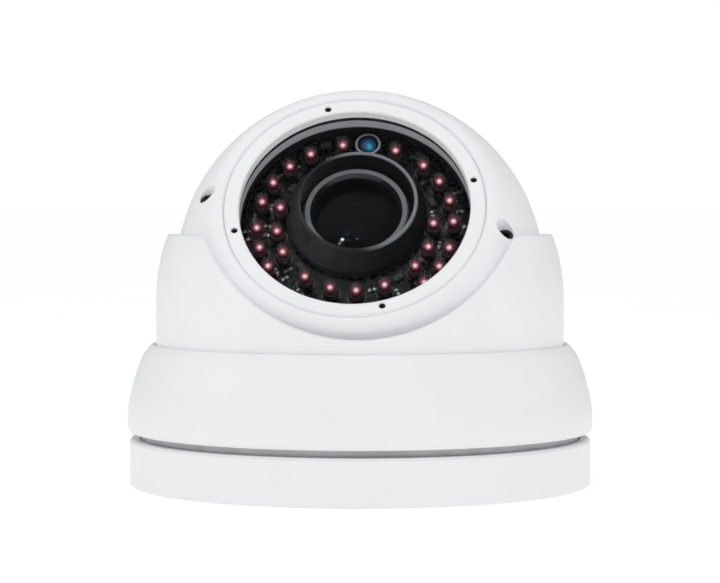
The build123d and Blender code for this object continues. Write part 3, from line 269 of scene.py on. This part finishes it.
def front_glass():
    """The coated front element: a near-black tint that paints the shade inside the lens, with a painted glint
    of a lamp and faint blue spots of painted reflection low in it.
    """
    s = Shader("front_glass")
    _, from_lamp = s.along(LENS @ (Vector((*PAINTED_GLINT_AT, 0.0)) * MM), TOWARD)
    _, from_painted_specks = s.along(LENS @ (Vector((*PAINTED_SPECKS_AT, 0.0)) * MM), TOWARD)
    # painted glint: an emissive spot where a lamp's reflection would fall
    lamp = s.step(from_lamp, 0.62, 0.30)
    # painted reflection: faint blue emissive spots low in the glass
    dots = s.add("ShaderNodeTexVoronoi", {"Vector": s.coords, "Scale": 760.0}).outputs["Distance"]
    painted_specks = s.maths("MULTIPLY", s.step(dots, 0.34, 0.16), s.step(from_painted_specks, 3.4, 1.2))
    painted_shine = s.blend(lamp, rgb(0.10, 0.12, 0.30), rgb(1.0, 0.97, 0.92))
    strength = s.maths("MAXIMUM", lamp, s.maths("MULTIPLY", painted_specks, 0.9))
    glow = s.add("ShaderNodeEmission", {"Color": painted_shine, "Strength": strength}).outputs["Emission"]
    # the near-black tint is painted shade for the dark inside of the lens
    glass = glass_mix(s, rgb(0.05, 0.048, 0.068), 1.16, 0.03)
    return s.finish(s.add("ShaderNodeAddShader", {0: glass, 1: glow}).outputs["Shader"])


def baffle_plastic():
    """The tube round the emitters: satin grey near the window, painted shade making it black further in."""
    s = Shader("baffle_plastic")
    depth, _ = s.along(CENTRE, TOWARD)
    grain = s.spread(s.noise(300.0, 3.0), -0.25, 0.25)
    # painted shade: black deeper in the tube, where shade falls, grey nearer the window
    lit = s.step(s.maths("ADD", depth, grain), BAFFLE_SHADED, BAFFLE_LIT)
    tint = s.blend(lit, rgb(0.006, 0.006, 0.008), rgb(0.56, 0.55, 0.58))
    peel = s.bump(s.noise(1800.0, 3.0), 0.03 * MM, 0.5)
    return s.finish(s.principled(Base_Color=tint, Roughness=0.5, Normal=peel))


def cowl_rubber():
    """Matt black rubber with a moulded grain, painted light that makes its left side paler, and a painted
    highlight on the rim towards the upper right.
    """
    s = Shader("cowl_rubber")
    depth, _ = s.along(LENS_POINT, TOWARD)
    side, _ = s.along(LENS_POINT, (ACROSS * 0.88 + UPWARD * 0.47).normalized())
    # painted light: the left side, which the light falls on, is made paler
    painted_lit_side = s.step(side, 4.0, -20.0)
    cloud = s.ramp(s.noise(420.0, 5.0, 0.7), [(0.3, rgb(0.5, 0.5, 0.5)), (0.7, rgb(1.7, 1.7, 1.7))])
    base = s.blend(painted_lit_side, rgb(0.003, 0.0033, 0.0036), rgb(0.030, 0.031, 0.033))
    base = s.add("ShaderNodeMix", {"Factor": 1.0, 6: base, 7: cloud},
                 data_type="RGBA", blend_type="MULTIPLY").outputs[2]
    # painted highlight: a paler band along the rim on its upper right side
    rim = s.step(depth, *COWL_RIM_HIGHLIGHT)
    painted_rim_highlight = s.maths("MULTIPLY", rim, s.step(side, -6.0, 6.0))
    tint = s.blend(painted_rim_highlight, base, rgb(0.21, 0.215, 0.225))
    grain = s.bump(s.noise(900.0, 5.0, 0.7), 0.3 * MM, 1.0)
    sheen = s.spread(s.noise(500.0), 0.5, 0.7)
    return s.finish(s.principled(Base_Color=tint, Roughness=sheen, Normal=grain, IOR=1.25))


def cell_plastic():
    """The lens's front ring: an even satin grey face with a glossy black bevel inside it."""
    s = Shader("cell_plastic")
    _, away = s.along(LENS_POINT, TOWARD)
    face = s.step(away, *CELL_FACE)
    tint = s.blend(face, rgb(0.008, 0.008, 0.010), rgb(0.195, 0.196, 0.199))
    sheen = s.spread(face, 0.12, 0.55)
    turned = s.bump(s.noise(1500.0, 3.0), 0.02 * MM, 0.5)
    return s.finish(s.principled(Base_Color=tint, Roughness=sheen, Normal=turned))


def board_mask():
    """Glossy black solder mask over faint raised tracks, with a greenish cast on the copper."""
    s = Shader("board_mask")
    cells = s.add("ShaderNodeTexVoronoi", {"Vector": s.coords, "Scale": 420.0},
                  feature="DISTANCE_TO_EDGE").outputs["Distance"]
    tracks = s.step(cells, 0.05, 0.11)
    tint = s.blend(tracks, rgb(0.010, 0.016, 0.012), rgb(0.0015, 0.002, 0.002))
    peel = s.bump(s.maths("SUBTRACT", 1.0, tracks), 0.05 * MM, 0.5)
    return s.finish(s.principled(Base_Color=tint, Roughness=0.10, Normal=peel, IOR=1.28))


def sensor_dome():
    """Deep blue filter dome with a painted cyan highlight low on its right."""
    s = Shader("sensor_dome")
    corners = [INTO_OPTICAL @ v.co for v in nodes["light_sensor"].data.vertices]
    middle = sum(corners, Vector()) / len(corners)
    spot = OPTICAL @ (middle + Vector((*SENSOR_HIGHLIGHT, 0.0)) * MM)
    _, away = s.along(spot, TOWARD)
    grain = s.spread(s.noise(900.0, 2.0), -0.3, 0.3)
    # painted highlight: cyan in the colour near the spot, deep blue farther from it
    tint = s.ramp(s.maths("MULTIPLY", s.maths("ADD", away, grain), 0.25), [
        (0.06, rgb(0.02, 0.45, 0.60)), (0.28, rgb(0.005, 0.09, 0.19)), (0.60, rgb(0.003, 0.016, 0.055))])
    return s.finish(s.principled(Base_Color=tint, Roughness=0.12, IOR=1.5))


WHITE = paint("white_paint", WHITE_COAT)
# The turret's paint carries a painted fill light of up to 0.13 where it is shut in.
WHITE_TURRET_FILL_LIT = paint("white_turret_paint_fill_lit", WHITE_COAT, painted_fill=0.13)
CAST = metal("cast_metal", (0.58, 0.59, 0.60), roughness=0.55, grain=500.0, depth=0.05 * MM)
BLACK_PLASTIC = moulded("black_plastic", (0.022, 0.022, 0.024))
NYLON = moulded("nylon", (0.75, 0.74, 0.69), shift=0.05)
RUBBER = moulded("black_rubber", (0.020, 0.020, 0.022), roughness=0.7, grain=1500.0, depth=0.05 * MM)
GREEN = moulded("green_board", (0.02, 0.13, 0.06), roughness=0.3)
CHIP = moulded("chip_package", (0.035, 0.035, 0.037), roughness=0.5)
RIBBON = moulded("ribbon_film", (0.45, 0.30, 0.09), roughness=0.35)
BRIGHT = metal("bright_metal", (0.78, 0.78, 0.80), roughness=0.16)
SATIN = metal("satin_metal", (0.42, 0.425, 0.44), roughness=0.4)
ZINC = metal("zinc_steel", (0.55, 0.56, 0.58), roughness=0.35)
BLACK_STEEL = metal("black_steel", (0.045, 0.045, 0.05), roughness=0.45)
BRASS = metal("brass", (0.62, 0.46, 0.20), roughness=0.3)
WINDOW = clear("window_glass", rgb(0.97, 0.98, 0.985), ior=1.12)
# The lens glass's dark tint is painted shade for the dark inside of the lens.
LENS_GLASS = clear("lens_glass", rgb(0.10, 0.095, 0.14), ior=1.14)
EPOXY = clear("emitter_epoxy", rgb(0.90, 0.80, 0.82), ior=1.55, roughness=0.05)
SENSOR_METAL = metal("sensor_metal", (0.30, 0.29, 0.325), roughness=0.38)
TIN = metal("tinned_solder", (0.50, 0.52, 0.50), roughness=0.22, grain=1400.0)
RESISTOR = moulded("resistor_body", (0.05, 0.06, 0.055), roughness=0.3)

dress(WHITE, "base_plate", "trim_cover")
dress(WHITE_TURRET_FILL_LIT, "turret_shroud", "front_shell", "rear_shell", "bezel_ring")
dress(CAST, "chassis_ring")
dress(RUBBER, "base_gasket", "cover_seal", "roll_seal", "ball_gland", "window_gasket", "cable_grommet",
      "camera_cable", "connector_leads")
dress(BLACK_PLASTIC, "pan_retainer", "pan_ring", "cable_splitter", "power_jack", "lens_barrel", "lens_mount",
      "focus_ring", "zoom_ring")
dress(NYLON, "pan_pad", "pivot_washers")
dress(baffle_plastic(), "baffle_ring")
dress(cowl_rubber(), "lens_cowl")
dress(cell_plastic(), "front_cell")
dress(board_mask(), "led_board")
dress(GREEN, "junction_board", "sensor_board", "main_board")
dress(CHIP, "board_components", "image_sensor")
dress(RIBBON, "ribbon_cable")
dress(BRIGHT, "video_connector")
dress(SENSOR_METAL, "sensor_holder")
dress(SATIN, "camera_bracket", "zoom_cell")
dress(ZINC, "retainer_screws", "pan_stop", "cover_screws", "pan_ring_screws", "pan_peg", "pivot_bolts",
      "clamp_dogs", "led_board_screws", "bracket_screws", "focus_lock_screw", "zoom_lock_screw")
dress(BLACK_STEEL, "base_lock_screw", "lock_screws", "bezel_screws")
dress(BRASS, "board_standoffs")
dress(WINDOW, "window_glass")
dress(front_glass(), "front_element")
dress(LENS_GLASS, "zoom_element", "ir_cut_filter")
dress(EPOXY, "ir_leds")
dress(sensor_dome(), "light_sensor")


# ---------------------------------------------------------------- mesh helpers
def make_piece(name, mesh_builder, material, place, smooth=True):
    """Make a named mesh from a function that fills a bmesh, placed in the row frame."""
    work = bmesh.new()
    mesh_builder(work)
    work.transform(place)
    bmesh.ops.recalc_face_normals(work, faces=work.faces)
    mesh = bpy.data.meshes.new(name)
    work.to_mesh(mesh)
    work.free()
    mesh.materials.append(material)
    if smooth:
        for face in mesh.polygons:
            face.use_smooth = True
    piece = bpy.data.objects.new(name, mesh)
    bpy.context.scene.collection.objects.link(piece)
    return piece


def lathe(work, profile, steps, origin):
    """Turn a profile of (radius, height) points in mm about z, closed where the radius is 0."""
    base = Vector(origin)
    rings = []
    for radius, height in profile:
        if radius < 1e-6:
            rings.append([work.verts.new(base + Vector((0, 0, height * MM)))])
            continue
        ring = []
        for step in range(steps):
            turn = 2 * math.pi * step / steps
            ring.append(work.verts.new(base + Vector((
                radius * MM * math.cos(turn), radius * MM * math.sin(turn), height * MM))))
        rings.append(ring)
    for lower, upper in zip(rings, rings[1:]):
        for step in range(steps):
            after = (step + 1) % steps
            corners = [lower[step % len(lower)], lower[after % len(lower)],
                       upper[after % len(upper)], upper[step % len(upper)]]
            unique = list(dict.fromkeys(corners))
            if len(unique) > 2:
                work.faces.new(unique)


# ---------------------------------------------------------------- emitters
def emitter_axes():
    """Centres of the emitters in the optical frame, read from the tips of the CAD solids."""
    local = [INTO_OPTICAL @ v.co for v in nodes["ir_leds"].data.vertices]
    tip = max(p.z for p in local)
    found = []
    for p in (p for p in local if p.z > tip - 0.5 * MM):
        near = next((c for c in found if math.hypot(c[0] / c[2] - p.x, c[1] / c[2] - p.y) < 3 * MM), None)
        if near:
            near[0] += p.x
            near[1] += p.y
            near[2] += 1
        else:
            found.append([p.x, p.y, 1])
    return [(x / n, y / n) for x, y, n in found], tip


led_centres, led_tip = emitter_axes()


def glow_material():
    """The die and its cup, magnified by the epoxy: a pinkish white heart that falls off to wine red."""
    s = Shader("emitter_glow")
    facing = s.add("ShaderNodeLayerWeight", {"Blend": 0.5}).outputs["Facing"]
    grain = s.spread(s.noise(1800.0, 2.0), -0.04, 0.04)
    value = s.maths("ADD", facing, grain)
    colour = s.ramp(value, [
        (0.015, rgb(1.0, 0.80, 0.83)), (0.06, rgb(0.62, 0.26, 0.31)), (0.14, rgb(0.20, 0.050, 0.07)),
        (0.34, rgb(0.050, 0.009, 0.014)), (0.85, rgb(0.008, 0.003, 0.004))])
    light = s.add("ShaderNodeEmission", {"Color": colour, "Strength": 1.0}).outputs["Emission"]
    return s.finish(light)


def cup_material():
    s = Shader("emitter_cup")
    cloud = s.noise(1500.0, 3.0)
    tint = s.ramp(cloud, [(0.3, rgb(0.030, 0.012, 0.014)), (0.7, rgb(0.14, 0.10, 0.10))])
    peel = s.bump(s.noise(2500.0), 0.05 * MM, 0.6)
    return s.finish(s.principled(Base_Color=tint, Roughness=0.3, Metallic=0.6, Normal=peel))


def emitter_cores(work):
    for x, y in led_centres:
        turns = [math.pi * step / CORE_STEPS for step in range(CORE_STEPS + 1)]
        ball = [(CORE_R * math.sin(turn), -CORE_DEPTH - CORE_R * math.cos(turn)) for turn in turns]
        ball[0] = (0.0, ball[0][1])
        ball[-1] = (0.0, ball[-1][1])
        lathe(work, ball, 24, (x, y, led_tip))


def emitter_cups(work):
    """The lead frame below the die: a dished post and its anvil."""
    for x, y in led_centres:
        lathe(work, LEAD_FRAME, 20, (x, y, led_tip))


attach(make_piece("emitter_cores", emitter_cores, glow_material(), OPTICAL), "front_module")
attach(make_piece("emitter_cups", emitter_cups, cup_material(), OPTICAL), "front_module")


# ---------------------------------------------------------------- small parts on the emitter board
def box(work, centre, size, turn):
    """A box standing on the board, sizes in mm, turned about its own upright axis."""
    spin = Matrix.Translation(centre) @ Matrix.Rotation(turn, 4, "Z")
    scale = Matrix.Diagonal((*[length * MM for length in size], 1))
    bmesh.ops.create_cube(work, size=1.0, matrix=spin @ Matrix.Translation((0, 0, size[2] * MM / 2)) @ scale)


def free_spots():
    """Places on the emitter board that stand clear of the emitters, the cowl, the sensor and the chips."""
    dice = random.Random(SEED)
    taken = [Vector((x, y)) for x, y in led_centres]
    for name in ("light_sensor", "board_components", "led_board_screws"):
        flat = [INTO_OPTICAL @ v.co for v in nodes[name].data.vertices]
        taken += [Vector((p.x, p.y)) for p in flat[::7]]
    hub = Vector((LENS_SHIFT.x, LENS_SHIFT.y))
    spots = []
    for _ in range(PLACING_TRIES):
        if len(spots) == RESISTOR_COUNT:
            break
        angle = dice.uniform(-math.pi, math.pi)
        reach = dice.uniform(BOARD_INNER, BOARD_OUTER) * MM
        spot = Vector((reach * math.cos(angle), reach * math.sin(angle)))
        if abs(math.cos(angle)) < SIDE_COSINE or (spot - hub).length < COWL_REACH * MM:
            continue
        if all((spot - other).length > RESISTOR_CLEARANCE * MM for other in taken):
            spots.append((spot, angle + dice.choice((0.0, math.pi / 2)) + dice.uniform(-0.1, 0.1)))
            taken.append(spot)
    return spots


board_top = max((INTO_OPTICAL @ v.co).z for v in nodes["led_board"].data.vertices)
part_spots = free_spots()


def on_board(spot, lift=0.0):
    return Vector((spot.x, spot.y, board_top + lift * MM))


def resistor_bodies(work):
    for spot, turn in part_spots:
        box(work, on_board(spot, 0.02), RESISTOR_BODY, turn)


def resistor_ends(work):
    """Tinned end caps, with a pool of solder beside each."""
    for spot, turn in part_spots:
        reach = Vector((math.cos(turn), math.sin(turn)))
        for side in (-CAP_OFFSET, CAP_OFFSET):
            end = spot + reach * side * MM
            box(work, on_board(end, 0.01), RESISTOR_CAP, turn)
            pool = spot + reach * side * POOL_SPREAD * MM
            lathe(work, SOLDER_POOL, 10, on_board(pool))


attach(make_piece("resistor_bodies", resistor_bodies, RESISTOR, OPTICAL, smooth=False), "front_module")
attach(make_piece("resistor_ends", resistor_ends, TIN, OPTICAL, smooth=False), "front_module")


# ---------------------------------------------------------------- stage, light and camera
def pale_floor():
    """Seamless studio floor: a pale diffuse sheet that is also lit evenly from within."""
    s = Shader("pale_floor")
    tint = s.ramp(s.noise(6.0, 2.0), [(0.3, rgb(0.50, 0.50, 0.502)), (0.7, rgb(0.52, 0.52, 0.522))])
    sheet = s.add("ShaderNodeBsdfDiffuse", {"Color": tint}).outputs["BSDF"]
    glow = s.add("ShaderNodeEmission", {"Color": rgb(1, 1, 1), "Strength": 0.56}).outputs["Emission"]
    return s.finish(s.add("ShaderNodeAddShader", {0: sheet, 1: glow}).outputs["Shader"])


WORLD_LIGHT = 0.83              # what falls on the object
WORLD_MIRRORED = 0.36           # what glossy surfaces reflect, as in a room darker than its lamps
WORLD_SEEN = 1.05               # what the camera sees behind the object
FLOOR_GAP = 0.2 * MM            # keeps the floor from sharing the underside's plane
FLOOR_HALF = 30.0
LIGHT_AIM = (0, 0, 0.06)


def build_world():
    """White all round, at one level for each kind of ray."""
    world = bpy.data.worlds.new("studio")
    bpy.context.scene.world = world
    world.use_nodes = True
    tree = world.node_tree
    background = tree.nodes["Background"]
    seen = tree.nodes.new("ShaderNodeLightPath")
    strength = WORLD_LIGHT
    for ray, level in (("Is Glossy Ray", WORLD_MIRRORED), ("Is Camera Ray", WORLD_SEEN)):
        choose = tree.nodes.new("ShaderNodeMix")
        tree.links.new(seen.outputs[ray], choose.inputs["Factor"])
        if isinstance(strength, bpy.types.NodeSocket):
            tree.links.new(strength, choose.inputs["A"])
        else:
            choose.inputs["A"].default_value = strength
        choose.inputs["B"].default_value = level
        strength = choose.outputs["Result"]
    tree.links.new(strength, background.inputs["Strength"])
    background.inputs["Color"].default_value = rgb(1, 1, 1)


def floor_sheet(work):
    bmesh.ops.create_grid(work, x_segments=1, y_segments=1, size=FLOOR_HALF)


def build_stage():
    floor = make_piece("floor", floor_sheet, pale_floor(), Matrix.Translation((0, 0, cad_low.z - FLOOR_GAP)))
    build_world()


def area_light(name, place, width, height, power):
    data = bpy.data.lights.new(name, "AREA")
    data.shape = "RECTANGLE"
    data.size = width
    data.size_y = height
    data.energy = power
    lamp = bpy.data.objects.new(name, data)
    lamp.location = place
    lamp.rotation_euler = (Vector(LIGHT_AIM) - Vector(place)).to_track_quat("-Z", "Y").to_euler()
    bpy.context.scene.collection.objects.link(lamp)


def build_lights():
    area_light("top", (-0.15, -0.55, 1.25), 1.1, 0.9, 2.0)
    area_light("left", (-1.2, -0.55, 0.75), 0.3, 0.9, 1.1)
    area_light("right", (1.15, -0.45, 0.85), 0.3, 0.9, 0.9)
    area_light("glint", (-0.43, -1.08, 1.08), 0.06, 0.10, 0.35)


CAMERA_TURN = 0.6               # degrees round the object from straight ahead
CAMERA_PITCH = 1.94             # degrees below level
CAMERA_DISTANCE = 763 * MM
CAMERA_HEIGHT = 84.2 * MM
CAMERA_LENS = 124.5


def build_camera():
    data = bpy.data.cameras.new("camera")
    data.sensor_width = 36.0
    data.lens = CAMERA_LENS
    camera = bpy.data.objects.new("camera", data)
    turn = math.radians(CAMERA_TURN)
    camera.location = (CAMERA_DISTANCE * math.sin(turn), -CAMERA_DISTANCE * math.cos(turn), CAMERA_HEIGHT)
    camera.rotation_euler = (math.radians(90 - CAMERA_PITCH), 0, turn)
    bpy.context.scene.collection.objects.link(camera)
    bpy.context.scene.camera = camera


build_stage()
build_lights()
build_camera()
bpy.context.scene.view_settings.view_transform = "Standard"
bpy.context.scene.cycles.max_bounces = 10
bpy.context.scene.cycles.transparent_max_bounces = 16
